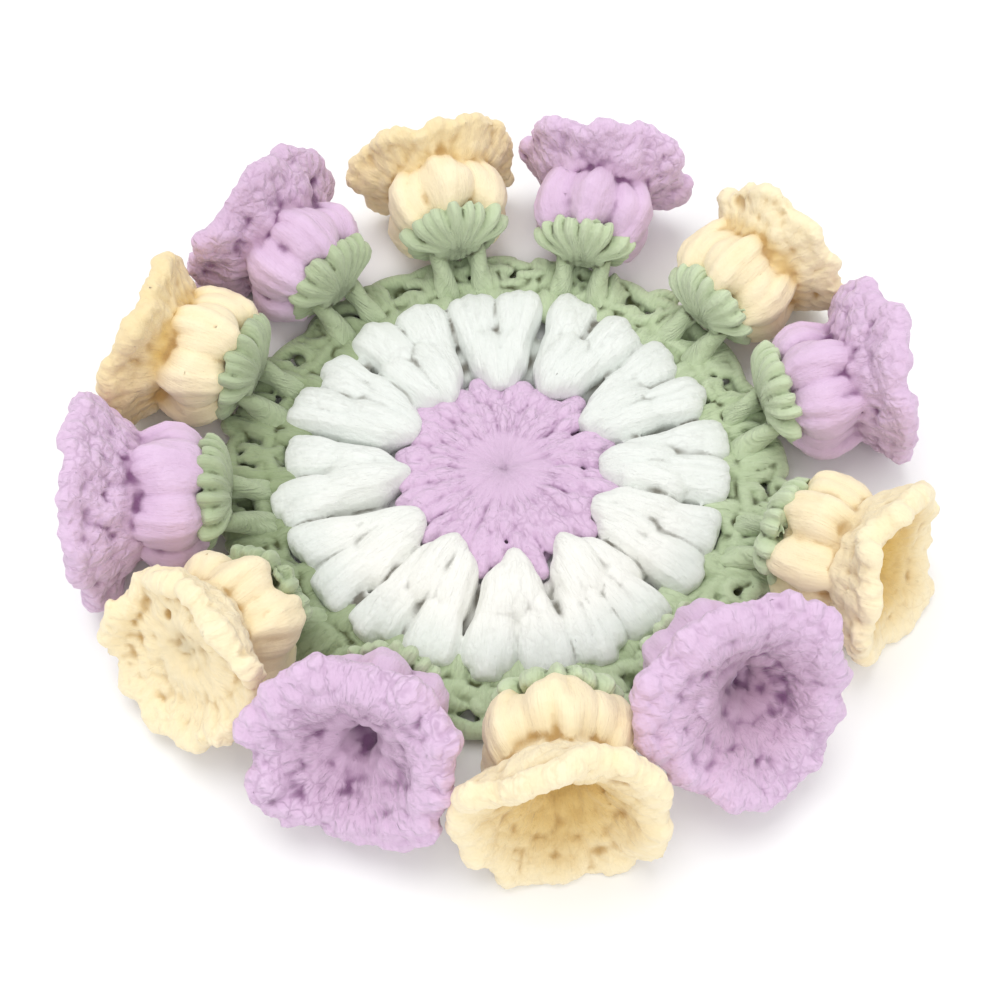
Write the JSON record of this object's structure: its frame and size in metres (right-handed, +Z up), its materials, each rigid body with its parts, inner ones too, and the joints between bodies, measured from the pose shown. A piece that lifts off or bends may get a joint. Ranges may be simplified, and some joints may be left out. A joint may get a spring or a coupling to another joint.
{
  "type": "crochet coaster",
  "caption": "Round crocheted cotton mat of centre, petal and leaf rounds, ringed by open bell flowers that lie on their sides around the place for a cup.",
  "frame": {"origin": "middle of the mat's underside, on the table", "axes": "+Z up; +X to the right and +Y away from the viewer of the picture"},
  "size_m": [0.1452, 0.1447, 0.0334],
  "materials": {
    "lilac_yarn": "soft matte cotton yarn",
    "yellow_yarn": "soft matte cotton yarn",
    "white_yarn": "soft matte cotton yarn",
    "green_yarn": "soft matte cotton yarn"
  },
  "bodies": {
    "root": {"centre": "lilac_yarn", "petal_ring": "white_yarn", "leaf_ring": "green_yarn", "flower_01": "yellow_yarn", "flower_02": "lilac_yarn", "flower_03": "yellow_yarn", "flower_04": "lilac_yarn", "flower_05": "yellow_yarn", "flower_06": "lilac_yarn", "flower_07": "yellow_yarn", "flower_08": "lilac_yarn", "flower_09": "yellow_yarn", "flower_10": "lilac_yarn", "flower_11": "yellow_yarn", "flower_12": "lilac_yarn", "calyx_01": "green_yarn", "calyx_02": "green_yarn", "calyx_03": "green_yarn", "calyx_04": "green_yarn", "calyx_05": "green_yarn", "calyx_06": "green_yarn", "calyx_07": "green_yarn", "calyx_08": "green_yarn", "calyx_09": "green_yarn", "calyx_10": "green_yarn", "calyx_11": "green_yarn", "calyx_12": "green_yarn"}
  },
  "joints": []
}
